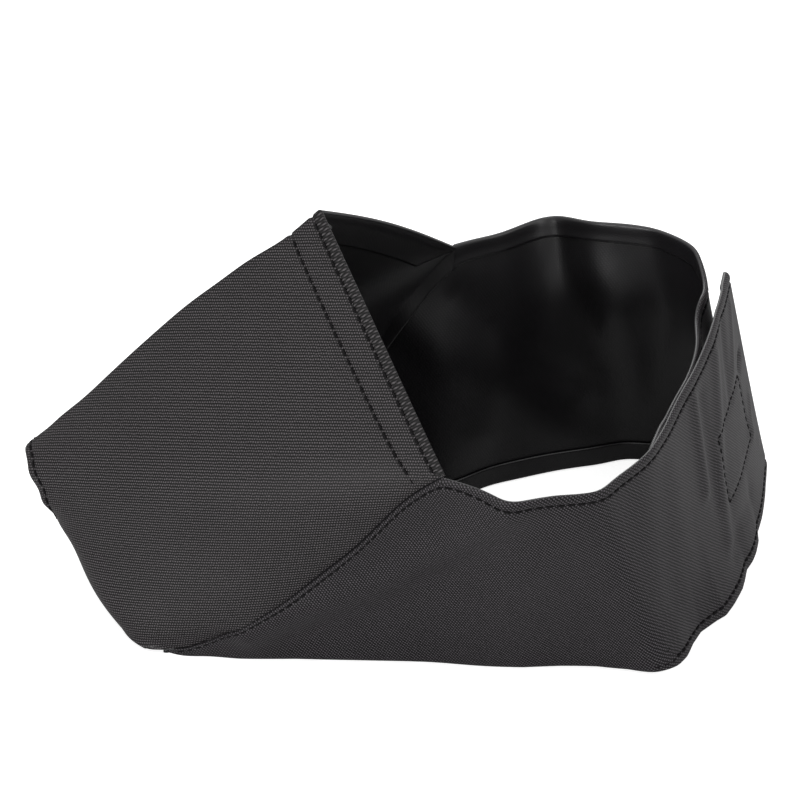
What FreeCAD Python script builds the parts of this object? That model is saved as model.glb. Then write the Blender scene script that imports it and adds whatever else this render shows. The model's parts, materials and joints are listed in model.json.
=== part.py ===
import FreeCAD, Part
import math
import os

# Grooming mask for a cat or small dog: a tapered face cover sewn to a wide band that passes under the
# chin and closes round the neck.  Nose towards -X, up +Z, wearer's left side at -Y.  The mid-plane is
# y = 0 and the origin lies on the table under the throat.  Millimetres.

V = FreeCAD.Vector

# ---- cloth and sewing -------------------------------------------------------------------------------
cloth = 0.6            # coated nylon oxford
ease = 0.02            # air between two layers that are sewn flat on each other
hem = 7.0              # width of the doubled hems of the band and of the forehead edge
nose_hem = 4.0         # width of the hem round the nose hole
allowance = 6.0        # width of the seam allowances that are stitched flat
fin = 3.0              # how far the ridge and chin seams' allowances stand into the cover
fin_gap = 5.0          # those allowances end this far from the hems and the allowance that they meet
fold_gap = 0.5         # parting between a cheek and the strap that folds from it
turn_gap = 0.3         # between an end hem and the two edge hems that it runs into

# ---- face cover -------------------------------------------------------------------------------------
nose_x = -80.5         # middle of the nose hole
nose_z = 24.5
nose_high = 14.0       # nose hole, measured along its sloping plane
nose_wide = 17.0
nose_tilt = 17.0       # the hole looks forwards and this many degrees down
peak_x = -17.0         # top of the forehead edge, where the ridge ends
peak_z = 95.0
cheek_turn = 70.0      # round the nose hole from its top: where the run to the cheek corner starts
chin_turn = 130.0      # and where the run to the chin corner starts

# ---- band -------------------------------------------------------------------------------------------
band_wide = 62.0
chin_half = 31.0       # half the width of the throat on the table
chin_x = -49.0         # front end of the cheeks, where the seams curl under the chin
chin_bow = 7.0         # how far the chin seam bows forwards between the cheeks
throat_ease = 0.3      # between the throat panel's folded sides and the cheeks
throat_x = 19.0        # rear edge of the throat panel at the cheeks
throat_hollow = 5.0    # how far that edge is hollowed at the mid-plane
corner_x = 10.0        # the forehead hem, the cheek seam and the band's top edge meet above this
seam_sag = 6.0         # sag of the cheek seam below its chord

# ---- closure ----------------------------------------------------------------------------------------
tape_thick = 1.1       # hook tape and loop tape
tape_wide = 20.0
tape_height = 17.0     # lower edge of both tapes above the band's lower edge
hook_long = 28.0
hook_setback = 9.0     # from the strap's end
loop_long = 46.0
loop_setback = 12.0
tape_clear = 0.6       # between the closed hooks and loops
tail_setback = 8.0     # the right strap ends this far short of the left strap's fold
tail_ribs = 9          # ribs that the right strap takes from the left one

# Ribs of the band: straight lines across its width that the cloth follows.  Each is the place of its
# foot on the table and how many degrees its head is tipped towards +X and towards +Y.
left_ribs = [
    (corner_x, -chin_half, 0.0, -14.8),
    (30.0, -chin_half, -3.0, -18.5),
    (51.0, -chin_half, -9.0, -16.5),
    (62.0, 4.5 - chin_half, -5.0, -3.0),
    (74.0, -6.0, -11.0, -4.0),
    (82.0, 22.0, -12.0, -4.0),
    (84.5, 48.5, -12.0, -9.5),
]
left_fold = 3          # the rib that the left strap folds about
right_ribs = [
    (corner_x, chin_half, 0.0, 14.8),
    (21.0, chin_half + 7.0, -1.0, 15.5),
    (33.0, chin_half + 13.0, 0.0, 16.0),
    (45.0, chin_half + 17.0, 0.0, 9.0),
    (56.0, chin_half + 19.5, 0.0, 3.0),
    (69.0, chin_half + 20.0, -4.0, -4.0),
    (78.0, chin_half + 12.5, -10.5, -8.0),
]
right_fold = 3         # the rib that the right strap folds about

samples = 6            # spans that each run of the face cover's edge is divided into
net_step = 5.0         # greatest spacing of the points taken along the band


# ---- nets: cloth between two edges that are joined by straight lines ---------------------------------
class Net:
    """Cloth ruled from a low edge to a high edge.

    low and high are matching points of the outer face.  low_in and high_in say where the cloth goes
    for each millimetre of depth towards the inside.  at gives the points' places along the edges."""

    def __init__(self, low, high, low_in, high_in, at=None):
        self.low = low
        self.high = high
        self.low_in = low_in
        self.high_in = high_in
        self.at = at or [float(i) for i in range(len(low))]

    def point(self, i, across, depth):
        foot = self.low[i] + self.low_in[i] * depth
        head = self.high[i] + self.high_in[i] * depth
        return foot + (head - foot) * across

    def flipped(self):
        """The same cloth on the other side of the mid-plane."""
        rows = [[V(p.x, -p.y, p.z) for p in row] for row in (self.low, self.high, self.low_in, self.high_in)]
        return Net(*rows, self.at)


def spline(points, at):
    curve = Part.BSplineCurve()
    curve.interpolate(Points=points, Parameters=at)
    return curve


def rail(points, at):
    """Smooth edge of the band, which leaves the flat cheek straight backwards."""
    curve = Part.BSplineCurve()
    end = unit(points[-1] - points[-2])
    curve.interpolate(Points=points, Parameters=at, InitialTangent=V(1, 0, 0), FinalTangent=end, Scale=False)
    return curve


def line(a, b):
    return Part.LineSegment(a, b).toShape()


def layer(nets, across=(0.0, 1.0), depth=(0.0, cloth)):
    """One closed solid of cloth over a chain of nets, between two heights and two depths."""
    corners = [(across[0], depth[0]), (across[1], depth[0]), (across[1], depth[1]), (across[0], depth[1])]
    faces = []
    for net in nets:
        count = len(net.low)
        rails = [spline([net.point(i, a, d) for i in range(count)], net.at).toShape() for a, d in corners]
        for k in range(4):
            faces.append(Part.makeRuledSurface(rails[k], rails[(k + 1) % 4]))
    for net, i in ((nets[0], 0), (nets[-1], len(nets[-1].low) - 1)):
        outer = line(net.point(i, *corners[0]), net.point(i, *corners[1]))
        inner = line(net.point(i, *corners[3]), net.point(i, *corners[2]))
        faces.append(Part.makeRuledSurface(outer, inner))
    shell = Part.makeShell(faces)
    shell.sewShape()
    solid = Part.makeSolid(shell)
    if solid.Volume < 0:
        solid.reverse()
    return solid


def mitre(n1, n2):
    """Step that goes one millimetre deep below both of two faces."""
    return (n1 + n2) * (1.0 / (1.0 + n1.dot(n2)))


def along(direction, normal):
    """Step in a given direction that goes one millimetre deep."""
    return direction * (1.0 / direction.dot(normal))


def level(normal):
    """Step along the table that goes one millimetre deep."""
    return along(unit(V(normal.x, normal.y, 0)), normal)


def even(a, b, count):
    return [a + (b - a) * i / (count - 1) for i in range(count)]


def unit(v):
    return V(v).normalize()


def mirrored(shape):
    return shape.mirror(V(0, 0, 0), V(0, 1, 0))


# ---- band -------------------------------------------------------------------------------------------
def rib_ends(rib):
    x, y, tip_x, tip_y = rib
    lean_x = band_wide * math.sin(math.radians(tip_x))
    lean_y = band_wide * math.sin(math.radians(tip_y))
    rise = math.sqrt(band_wide ** 2 - lean_x ** 2 - lean_y ** 2)
    return V(x, y, 0), V(x + lean_x, y + lean_y, rise)


class Band:
    """The band's cloth along a row of ribs.  A place on it is its distance from the first rib, measured
    along the middle of the cloth.  side is +1 when the inside lies to its left, else -1."""

    def __init__(self, ends, side):
        middles = [(foot + head) * 0.5 for foot, head in ends]
        self.at = [0.0]
        for here, there in zip(middles, middles[1:]):
            self.at.append(self.at[-1] + (there - here).Length)
        self.feet = rail([foot for foot, head in ends], self.at)
        self.heads = rail([head for foot, head in ends], self.at)
        self.side = side
        self.end = self.at[-1]

    def inward(self, place):
        rib = self.heads.value(place) - self.feet.value(place)
        run = unit(self.feet.tangent(place)[0]) + unit(self.heads.tangent(place)[0])
        return unit(rib.cross(run)) * self.side

    def net(self, start, end):
        count = max(3, math.ceil(abs(end - start) / net_step) + 1)
        places = even(start, end, count)
        low = [self.feet.value(u) for u in places]
        high = [self.heads.value(u) for u in places]
        depth = [self.inward(u) for u in places]
        return Net(low, high, [level(d) for d in depth], depth, even(0.0, abs(end - start), count))


def left_band():
    return Band([rib_ends(rib) for rib in left_ribs], 1)


def right_band(left):
    """The right strap turns the rear corner and then runs inside the left strap to its tail."""
    ends = [rib_ends(rib) for rib in right_ribs]
    depth = cloth + 2 * tape_thick + tape_clear + 2 * ease
    for place in even(left.at[-2], left.at[left_fold] + tail_setback, tail_ribs):
        foot = left.feet.value(place)
        up = unit(left.heads.value(place) - foot)
        foot = foot + level(left.inward(place)) * depth
        ends.append((foot, foot + up * band_wide))
    return Band(ends, -1)


def cheek_normal():
    """Inward normal of the flat front part of the left cheek."""
    foot, head = rib_ends(left_ribs[0])
    return unit((head - foot).cross(V(1, 0, 0)))


def cheek_seam():
    """Points of the left cheek seam, from the cheek corner down to the chin, on the flat of the cheek."""
    foot, head = rib_ends(left_ribs[0])
    slope = (head - foot) * (1.0 / (head.z - foot.z))
    end = V(chin_x, foot.y, 0) + slope * (2 * cloth)
    chord = end - head
    down = unit(chord.cross(cheek_normal()))
    if down.z > 0:
        down = down * -1.0
    middle = (head + end) * 0.5 + down * seam_sag
    arc = Part.Arc(head, middle, end)
    first, last = arc.FirstParameter, arc.LastParameter
    count = 2 * samples + 1
    return [arc.value(first + (last - first) * i / (count - 1)) for i in range(count)]


def cheek_front(seam, seam_in):
    """The part of the left cheek under the cheek seam, as ribs that stand on the table."""
    foot, head = rib_ends(left_ribs[0])
    lean = (head - foot) * (1.0 / head.z)
    feet = [p - lean * p.z for p in seam]
    return Net(feet[::-1], seam[::-1], [level(cheek_normal())] * len(seam), seam_in[::-1])


def cheek(front, band, end):
    """The cheek's cloth, from the chin corner along the cheek seam and back to the strap's fold."""
    rear = band.net(0.0, end)
    rear.high_in[0] = front.high_in[-1]
    return layer([front, rear])


def second_layer(nets, across):
    """Cloth that is doubled back and lies on the inside of the nets' own cloth."""
    return layer(nets, across, (cloth + ease, 2 * cloth))


def top_hem(band, start, end):
    return second_layer([band.net(start, end)], (1 - hem / band_wide, 1.0))


def bottom_hem(band, start, end):
    return second_layer([band.net(start, end)], (0.0, hem / band_wide))


def end_hem(band):
    """The doubled end of a strap, between its top and bottom hems."""
    edge = (hem + turn_gap) / band_wide
    return second_layer([band.net(band.end - hem, band.end)], (edge, 1 - edge))


def tape(band, setback, long, depth):
    """A rectangle of hook or loop tape sewn on the band."""
    low = tape_height / band_wide
    net = band.net(band.end - setback - long, band.end - setback)
    return layer([net], (low, low + tape_wide / band_wide), depth)


# ---- face cover -------------------------------------------------------------------------------------
nose_middle = V(nose_x, 0, nose_z)
muzzle_middle = V(chin_x, 0, (peak_z + nose_z) / 4)


def nose_point(turn):
    """Point of the nose hole's edge, turned from its top towards the wearer's left."""
    a = math.radians(turn)
    tilt = math.radians(nose_tilt)
    up = math.cos(a) * nose_high / 2
    return V(nose_x - up * math.sin(tilt), -math.sin(a) * nose_wide / 2, nose_z + up * math.cos(tilt))


def facing(normal, direction):
    """The unit normal or its opposite, whichever points the given way."""
    return unit(normal) if normal.dot(direction) > 0 else unit(normal) * -1.0


def face_run(turns, rear):
    """Cloth from a stretch of the nose hole's edge to a stretch of the cover's rear edge."""
    count = len(rear)
    front = [nose_point(turn) for turn in even(turns[0], turns[1], count)]
    front_in = []
    rear_in = []
    for i in range(count):
        before, after = max(i - 1, 0), min(i + 1, count - 1)
        ruling = rear[i] - front[i]
        to_middle = unit(nose_middle - front[i])
        front_in.append(along(to_middle, facing((front[after] - front[before]).cross(ruling), to_middle)))
        rear_in.append(facing((rear[after] - rear[before]).cross(ruling), muzzle_middle - rear[i]))
    return Net(front, rear, front_in, rear_in)


def blended(start, end, count, full=1.0):
    """Steps that change evenly from one to another, over a share of the way that they are given for."""
    return [start + (end - start) * min(1.0, i / (count - 1) / full) for i in range(count)]


def chin_seam():
    """Left half of the chin seam, from the chin corner to the mid-plane, bowed forwards."""
    corner = cheek_seam()[-1]
    points = []
    for y in even(corner.y, 0.0, samples + 1):
        bow = chin_bow * (1 - (y / corner.y) ** 2)
        points.append(V(corner.x - bow, y, 2 * cloth))
    return points


def face_nets():
    """The left half of the face cover: forehead run, cheek run and chin run."""
    seam = cheek_seam()
    forehead = even(V(peak_x, 0, peak_z), seam[0], samples + 1)
    top_run = face_run((0.0, cheek_turn), forehead)
    cheek_run = face_run((cheek_turn, chin_turn), seam)
    chin_run = face_run((chin_turn, 180.0), chin_seam())

    # The cover and the cheek share the seam, so there each layer lies below both faces.
    cheek_run.high_in = [mitre(normal, cheek_normal()) for normal in cheek_run.high_in]
    n_peak = top_run.high_in[0]
    at_peak = V(n_peak.x, 0, n_peak.z) * (1.0 / (1.0 - n_peak.y ** 2))
    top_run.high_in = blended(at_peak, cheek_run.high_in[0], samples + 1)
    chin_run.high_in = blended(cheek_run.high_in[-1], V(0, 0, 1), samples + 1, 0.5)

    for first, second in ((top_run, cheek_run), (cheek_run, chin_run)):
        shared = (first.low_in[-1] + second.low_in[0]) * 0.5
        first.low_in[-1] = shared
        second.low_in[0] = shared
    for net, i in ((top_run, 0), (chin_run, -1)):
        net.low_in[i] = V(net.low_in[i].x, 0, net.low_in[i].z)
    return top_run, cheek_run, chin_run


def seam_fin(net, i, front_gap, rear_gap):
    """Seam allowance of both halves, turned in and standing in the mid-plane inside the cover."""
    long = (net.high[i] - net.low[i]).Length
    front = net.point(i, front_gap / long, cloth)
    rear = net.point(i, 1 - rear_gap / long, cloth)
    down = facing((rear - front).cross(V(0, 1, 0)), muzzle_middle - front)
    # Both layers fit under the cover where it falls away from the mid-plane.
    beside = 1 if i == 0 else i - 1
    slopes = []
    for a, b in ((net.low[i], net.low[beside]), (net.high[i], net.high[beside])):
        slopes.append((b - a).dot(down) / abs((b - a).y))
    top = cloth * max(slopes) + ease
    outline = [front + down * top, rear + down * top, rear + down * (top + fin), front + down * (top + fin)]
    outline = [point - V(0, cloth, 0) for point in outline]
    return Part.Face(Part.makePolygon(outline + outline[:1])).extrude(V(0, 2 * cloth, 0))


def face_parts():
    top_run, cheek_run, chin_run = face_nets()
    runs = [top_run, cheek_run, chin_run]
    long = (top_run.high[0] - top_run.low[0]).Length
    left = {
        "face_left": layer(runs),
        "nose_hem_left": second_layer(runs, (0.0, nose_hem / long)),
        "forehead_hem_left": second_layer([top_run], (1 - hem / long, 1.0)),
    }
    parts = dict(left)
    for name, shape in left.items():
        parts[name.replace("left", "right")] = mirrored(shape)
    parts["ridge_seam"] = seam_fin(top_run, 0, nose_hem + fin_gap, hem + fin_gap)
    parts["chin_seam"] = seam_fin(chin_run, samples, nose_hem + fin_gap, allowance + fin_gap)
    return parts


# ---- throat -----------------------------------------------------------------------------------------
def throat_outline(half, front_shift=0.0, rear_shift=0.0):
    """The throat's flat outline, with a bowed front edge and a hollowed rear edge, each moved back."""
    front_x = chin_x + front_shift
    rear_x = throat_x + rear_shift
    front = Part.Arc(V(front_x, -half, 0), V(front_x - chin_bow, 0, 0), V(front_x, half, 0)).toShape()
    rear = Part.Arc(V(rear_x, -half, 0), V(rear_x - throat_hollow, 0, 0), V(rear_x, half, 0)).toShape()
    left = line(V(front_x, -half, 0), V(rear_x, -half, 0))
    right = line(V(front_x, half, 0), V(rear_x, half, 0))
    return Part.Face(Part.Wire(Part.sortEdges([front, right, rear, left])[0]))


def throat_parts():
    """The band under the chin, the seam allowance at its front edge and its rear hem."""
    lean = math.radians(left_ribs[0][3])
    half = chin_half - cloth / math.cos(lean) - throat_ease
    panel = throat_outline(half).extrude(V(0, 0, cloth))
    second = throat_outline(half - 2 * cloth).extrude(V(0, 0, cloth - 2 * ease))
    second.translate(V(0, 0, cloth + ease))
    through = V(0, 0, 2 * cloth)
    seam = second.cut(throat_outline(half, allowance, allowance).extrude(through))
    rear = second.cut(throat_outline(half, -hem, -hem).extrude(through))
    return {"throat_panel": panel, "throat_seam": seam, "throat_hem": rear}


# ---- cheeks and straps ------------------------------------------------------------------------------
def allowance_strip(seam):
    """Seam allowance of the left cheek seam, laid on the inside of the cheek."""
    normal = cheek_normal()
    edge = []
    rim = []
    for before, here, after in zip(seam, seam[1:], seam[2:]):
        across = facing((after - before).cross(normal), V(0, 0, -1))
        if here.z + across.z * allowance > 2 * cloth:
            rim.append(here + across * (2 * cloth))
            edge.append(here + across * allowance)
    flat = [normal] * len(edge)
    return second_layer([Net(edge, rim, flat, flat)], (0.0, 1.0))


def cheek_parts(side, band, front, end):
    behind_throat = throat_x - corner_x + hem
    return {
        "cheek_" + side: cheek(front, band, end),
        "cheek_top_hem_" + side: top_hem(band, 2 * cloth, end),
        "cheek_bottom_hem_" + side: bottom_hem(band, behind_throat, end),
    }


def strap_parts(side, band, start):
    return {
        "strap_" + side: layer([band.net(start, band.end)]),
        "strap_top_hem_" + side: top_hem(band, start, band.end),
        "strap_bottom_hem_" + side: bottom_hem(band, start, band.end),
        "strap_end_hem_" + side: end_hem(band),
    }


def band_parts():
    left = left_band()
    right = right_band(left)
    seam = cheek_seam()
    front = cheek_front(seam, face_nets()[1].high_in)
    strip = allowance_strip(seam)
    parts = {"cheek_seam_left": strip, "cheek_seam_right": mirrored(strip)}
    sides = (("left", left, front, left_fold), ("right", right, front.flipped(), right_fold))
    for side, band, front_net, fold in sides:
        parts.update(cheek_parts(side, band, front_net, band.at[fold] - fold_gap / 2))
        parts.update(strap_parts(side, band, band.at[fold] + fold_gap / 2))
    inside = cloth + ease
    parts["hook_patch"] = tape(left, hook_setback, hook_long, (inside, inside + tape_thick))
    parts["loop_patch"] = tape(right, loop_setback, loop_long, (-ease - tape_thick, -ease))
    return parts


os.makedirs("parts", exist_ok=True)
for node, shape in {**face_parts(), **throat_parts(), **band_parts()}.items():
    if not shape.isValid() or shape.Volume <= 0:
        print("check", node, shape.isValid(), round(shape.Volume, 1))
    shape.exportStep("parts/" + node + ".step")
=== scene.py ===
# %% [markdown]
# # A cloth face cover for grooming a cat
#
# The real thing is sewn from one kind of cloth, a black nylon oxford with a coated back. Two halves make a
# tapered cover for the eyes and muzzle, and a wide band on each side runs round the neck and closes behind it
# with hook and loop tape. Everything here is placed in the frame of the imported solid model.
# %% Load the frame
import json
import math

import bpy
import numpy as np
from mathutils import Matrix, Vector


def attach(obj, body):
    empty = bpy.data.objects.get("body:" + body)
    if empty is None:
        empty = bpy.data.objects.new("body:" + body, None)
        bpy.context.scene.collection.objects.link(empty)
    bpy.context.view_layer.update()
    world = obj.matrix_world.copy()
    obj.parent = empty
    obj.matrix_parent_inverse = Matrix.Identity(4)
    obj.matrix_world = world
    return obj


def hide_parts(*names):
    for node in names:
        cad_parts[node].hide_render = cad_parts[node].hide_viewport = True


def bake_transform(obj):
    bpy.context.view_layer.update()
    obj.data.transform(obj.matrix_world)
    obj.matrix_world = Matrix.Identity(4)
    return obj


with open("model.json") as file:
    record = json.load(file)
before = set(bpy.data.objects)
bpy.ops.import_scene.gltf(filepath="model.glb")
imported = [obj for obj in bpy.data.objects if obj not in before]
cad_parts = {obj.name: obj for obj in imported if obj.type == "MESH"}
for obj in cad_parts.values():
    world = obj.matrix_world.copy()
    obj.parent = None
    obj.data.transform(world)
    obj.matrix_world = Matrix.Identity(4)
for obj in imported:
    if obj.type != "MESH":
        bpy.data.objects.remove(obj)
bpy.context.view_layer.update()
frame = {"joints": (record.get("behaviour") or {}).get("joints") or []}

MM = 0.001


def deselect():
    for obj in bpy.context.selected_objects:
        obj.select_set(False)


deselect()
joints = {joint["name"]: joint for joint in frame["joints"]}

# %% [markdown]
# The camera stands where it sees the cover from its left side and from above. Setting it first lets every later
# step be judged from the same place.
# %% Camera
TARGET = np.array((0.0, -3.62, 50.0))
DISTANCE = 700.0
LIFT = math.radians(33.0)
TURN = math.radians(2.45)
away = np.array((math.sin(TURN) * math.cos(LIFT), -math.cos(TURN) * math.cos(LIFT), math.sin(LIFT)))
camera = bpy.data.objects.new("Camera", bpy.data.cameras.new("Camera"))
bpy.context.scene.collection.objects.link(camera)
bpy.context.scene.camera = camera
camera.location = (TARGET + DISTANCE * away) * MM
camera.rotation_euler = (math.pi / 2 - LIFT, 0.0, TURN)
camera.data.sensor_width = 36.0
camera.data.lens = 145.8
print("camera", tuple(round(x, 4) for x in camera.location))

# %% [markdown]
# Sheets of cloth are drawn from lines. A seamstress follows a smooth line through a few marks, and so does this
# helper: it bends a natural cubic through the marks and gives back places by distance along it.
# %% A smooth line through marks
def smooth_line(marks, knots=None):
    """Places on a smooth line through marks, asked for by distance in millimetres, and the line's length."""
    p = np.array(marks, float)
    if knots is None:
        knots = np.r_[0.0, np.cumsum(np.linalg.norm(np.diff(p, axis=0), axis=1))]
    t = np.array(knots, float)
    h = np.diff(t)
    n = len(p)
    left, right = np.eye(n), np.zeros_like(p)
    for i in range(1, n - 1):
        left[i, i - 1:i + 2] = h[i - 1], 2 * (h[i - 1] + h[i]), h[i]
        right[i] = 6 * ((p[i + 1] - p[i]) / h[i] - (p[i] - p[i - 1]) / h[i - 1])
    bend = np.linalg.solve(left, right)

    def at(s):
        s = np.clip(np.asarray(s, float), t[0], t[-1])
        i = np.clip(np.searchsorted(t, s, side="right") - 1, 0, n - 2)
        w = h[i]
        a, b = ((t[i + 1] - s) / w)[..., None], ((s - t[i]) / w)[..., None]
        w = w[..., None]
        return a * p[i] + b * p[i + 1] + ((a**3 - a) * bend[i] + (b**3 - b) * bend[i + 1]) * w**2 / 6

    return at, t[-1]


def ease(x, start, end):
    """0 before start, 1 after end, and a soft slope between them."""
    t = np.clip((np.asarray(x, float) - start) / (end - start), 0.0, 1.0)
    return t * t * (3 - 2 * t)


def read(x, marks, table):
    """The columns of a table at x, straight between its marks."""
    return np.stack([np.interp(x, marks, column) for column in table.T], axis=-1)


def unit(v):
    """The same directions, each of length one."""
    return v / np.maximum(np.linalg.norm(v, axis=-1, keepdims=True), 1e-9)


def steps(start, end, spacing):
    """Evenly spaced places from start to end, about spacing apart."""
    return np.linspace(start, end, max(2, int(round(abs(end - start) / spacing)) + 1))


# %% [markdown]
# Cloth lies flat before it is sewn. Between two lines joined by straight ribs it can be unrolled rib by rib, as
# a pattern is taken off a garment. The unrolled places give the weave its own coordinates, so the threads
# follow the cloth round every bend, and they give the size that each piece was cut to.
# %% Unroll a ruled strip
def unroll(low, high):
    """Flat places, in millimetres, of two lines of marks that are joined by ribs."""
    flat_low, flat_high = np.zeros((len(low), 2)), np.zeros((len(low), 2))
    flat_high[0] = (0.0, np.linalg.norm(high[0] - low[0]))

    def corner(a, b, to_a, to_b):
        along = b - a
        reach = np.linalg.norm(along)
        x = (to_a**2 - to_b**2 + reach**2) / (2 * reach)
        y = math.sqrt(max(to_a**2 - x**2, 0.0))
        along = along / reach
        return a + along * x + np.array((along[1], -along[0])) * y

    for i in range(1, len(low)):
        a, b = flat_low[i - 1], flat_high[i - 1]
        flat_low[i] = corner(a, b, np.linalg.norm(low[i] - low[i - 1]), np.linalg.norm(low[i] - high[i - 1]))
        a = flat_low[i]
        flat_high[i] = corner(a, b, np.linalg.norm(high[i] - low[i]), np.linalg.norm(high[i] - high[i - 1]))
    return flat_low, flat_high


def spring_flat(places, flat, rounds=500):
    """Flat places moved until the distances between neighbours are those on the curved sheet."""
    rows, cols = places.shape[:2]
    index = np.arange(rows * cols).reshape(rows, cols)
    pairs = [(index[:-1], index[1:]), (index[:, :-1], index[:, 1:]), (index[:-1, :-1], index[1:, 1:]),
             (index[:-1, 1:], index[1:, :-1])]
    a = np.concatenate([p[0].ravel() for p in pairs])
    b = np.concatenate([p[1].ravel() for p in pairs])
    spots, flat = places.reshape(-1, 3), flat.reshape(-1, 2).copy()
    want = np.linalg.norm(spots[b] - spots[a], axis=1)
    share = np.bincount(np.r_[a, b], minlength=len(flat))[:, None] * 0.6
    for _ in range(rounds):
        step = flat[b] - flat[a]
        far = np.maximum(np.linalg.norm(step, axis=1), 1e-9)
        pull = step * ((far - want) / far * 0.5)[:, None]
        move = np.zeros_like(flat)
        for k in (0, 1):
            move[:, k] = np.bincount(a, pull[:, k], len(flat)) - np.bincount(b, pull[:, k], len(flat))
        flat += move / share
    return flat.reshape(rows, cols, 2)


def cut_size(*patches):
    """Flat size (width, length) and flat area, in metres, of the patches of one cut piece."""
    points, area = [], 0.0
    for places, flat, *finish in patches:
        one, two = flat[1:, 1:] - flat[:-1, :-1], flat[1:, :-1] - flat[:-1, 1:]
        area += abs(one[..., 0] * two[..., 1] - one[..., 1] * two[..., 0]).sum() / 2
        points.append(flat.reshape(-1, 2))
    points = np.concatenate(points)
    sizes = []
    for angle in np.radians(range(0, 90, 2)):
        turned = points @ np.array(((math.cos(angle), -math.sin(angle)), (math.sin(angle), math.cos(angle))))
        sizes.append(sorted(np.ptp(turned, axis=0) * MM))
    size = min(sizes, key=lambda wide_long: wide_long[0] * wide_long[1])
    return tuple(float(v) for v in size), min(float(area) * MM * MM, float(size[0] * size[1]))


# %% [markdown]
# A sheet is sewn together from patches. Each patch is a grid of places on the cloth's outer face with a flat
# place for each. The patches are merged where they meet, and a Solidify modifier then gives the cloth its
# thickness towards the inside, where it gets the coated back as its second material.
# %% Sew patches into a sheet
CLOTH = 0.45


def link(name, mesh):
    """A new object for mesh, in the scene."""
    obj = bpy.data.objects.new(name, mesh)
    bpy.context.scene.collection.objects.link(obj)
    return obj


def sew_sheet(name, patches, finishes, flip=False, thick=CLOTH):
    """One object from patches of (places, flat places, finish of each row of faces)."""
    verts, flats, faces, slots = [], [], [], []
    for places, flat, *finish in patches:
        rows, cols = places.shape[:2]
        start = sum(len(v) for v in verts)
        index = start + np.arange(rows * cols).reshape(rows, cols)
        quads = np.stack((index[:-1, :-1], index[:-1, 1:], index[1:, 1:], index[1:, :-1]), axis=-1)
        quads = quads.reshape(-1, 4)
        of_faces = finish[0] if finish else np.zeros(rows - 1, int)
        slots.append(of_faces.ravel() if of_faces.ndim == 2 else np.repeat(of_faces, cols - 1))
        faces.append(quads[:, ::-1] if flip else quads)
        verts.append(places.reshape(-1, 3))
        flats.append(flat.reshape(-1, 2))
    verts, flats, faces = np.concatenate(verts), np.concatenate(flats), np.concatenate(faces)
    mesh = bpy.data.meshes.new(name)
    mesh.from_pydata((verts * MM).tolist(), [], faces.tolist())
    layer = mesh.uv_layers.new(name="Cloth")
    layer.data.foreach_set("uv", (flats[faces.ravel()] * MM).astype(np.float32).ravel())
    for finish in finishes:
        mesh.materials.append(finish)
    mesh.polygons.foreach_set("material_index", np.concatenate(slots).astype(np.int32))
    obj = link(name, mesh)
    bpy.context.view_layer.objects.active = obj
    obj.select_set(True)
    bpy.ops.object.mode_set(mode="EDIT")
    bpy.ops.mesh.select_all(action="SELECT")
    bpy.ops.mesh.remove_doubles(threshold=2e-6)
    bpy.ops.object.mode_set(mode="OBJECT")
    solid = obj.modifiers.new("Thickness", "SOLIDIFY")
    solid.thickness = thick * MM
    solid.offset = -1.0
    solid.material_offset = len(finishes) - 1
    bpy.ops.object.modifier_apply(modifier=solid.name)
    bpy.ops.object.shade_smooth()
    obj.select_set(False)
    return obj


# %% [markdown]
# The cloth is an oxford: thick threads cross over and under each other in rows, and each crossing stands up as a
# small bead. A node group works the beads out from the flat places of the sheet, once, for every finish that
# needs them. It puts out the height of the threads and a tone that wanders slowly, as dye and wear make it.
# %% Weave
def fill(tree, node, inputs):
    """Sets sockets of node to numbers, or links them where the value is another node's output."""
    for key, value in dict(inputs).items():
        if isinstance(value, bpy.types.NodeSocket):
            tree.links.new(value, node.inputs[key])
        else:
            node.inputs[key].default_value = value


def add_node(tree, kind, inputs=(), **settings):
    """A new shader node in tree, with its settings and its inputs."""
    node = tree.nodes.new("ShaderNode" + kind)
    for name, value in settings.items():
        setattr(node, name, value)
    fill(tree, node, inputs)
    return node


def maths(tree, operation, *values):
    """The result of a Math node in tree. Values are numbers or sockets."""
    return add_node(tree, "Math", enumerate(values), operation=operation).outputs[0]


def new_material(name):
    """A new material, its node tree and its shader."""
    material = bpy.data.materials.new(name)
    material.use_nodes = True
    return material, material.node_tree, material.node_tree.nodes["Principled BSDF"]


def make_group(name, inputs, outputs):
    """A shader node group with named inputs and outputs."""
    tree = bpy.data.node_groups.new(name, "ShaderNodeTree")
    for label, kind, value in inputs:
        socket = tree.interface.new_socket(label, in_out="INPUT", socket_type=kind)
        if value is not None:
            socket.default_value = value
    for label, kind in outputs:
        tree.interface.new_socket(label, in_out="OUTPUT", socket_type=kind)
    return tree, tree.nodes.new("NodeGroupInput"), tree.nodes.new("NodeGroupOutput")


FLOAT, VECTOR = "NodeSocketFloat", "NodeSocketVector"
weave, given, result = make_group(
    "Oxford weave",
    [("Place", VECTOR, None), ("Row pitch", FLOAT, 0.62), ("Bead pitch", FLOAT, 0.6), ("Sharpness", FLOAT, 3.0)],
    [("Height", FLOAT), ("Tone", FLOAT)],
)
split = add_node(weave, "SeparateXYZ", {0: given.outputs["Place"]})
wander = add_node(weave, "TexNoise", {"Vector": given.outputs["Place"], "Scale": 900.0, "Detail": 1.0})
drift = maths(weave, "MULTIPLY", maths(weave, "SUBTRACT", wander.outputs[0], 0.5), 0.5)


def in_pitches(socket, pitch):
    """Metres on the cloth as a count of pitches, which are in millimetres."""
    return maths(weave, "DIVIDE", maths(weave, "MULTIPLY", socket, 1000.0), given.outputs[pitch])


def wave(count):
    """A wave with one crest in every pitch, sharpened towards its crest."""
    crest = maths(weave, "SINE", maths(weave, "MULTIPLY", maths(weave, "FRACT", count), math.pi))
    return maths(weave, "POWER", crest, given.outputs["Sharpness"])


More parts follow.
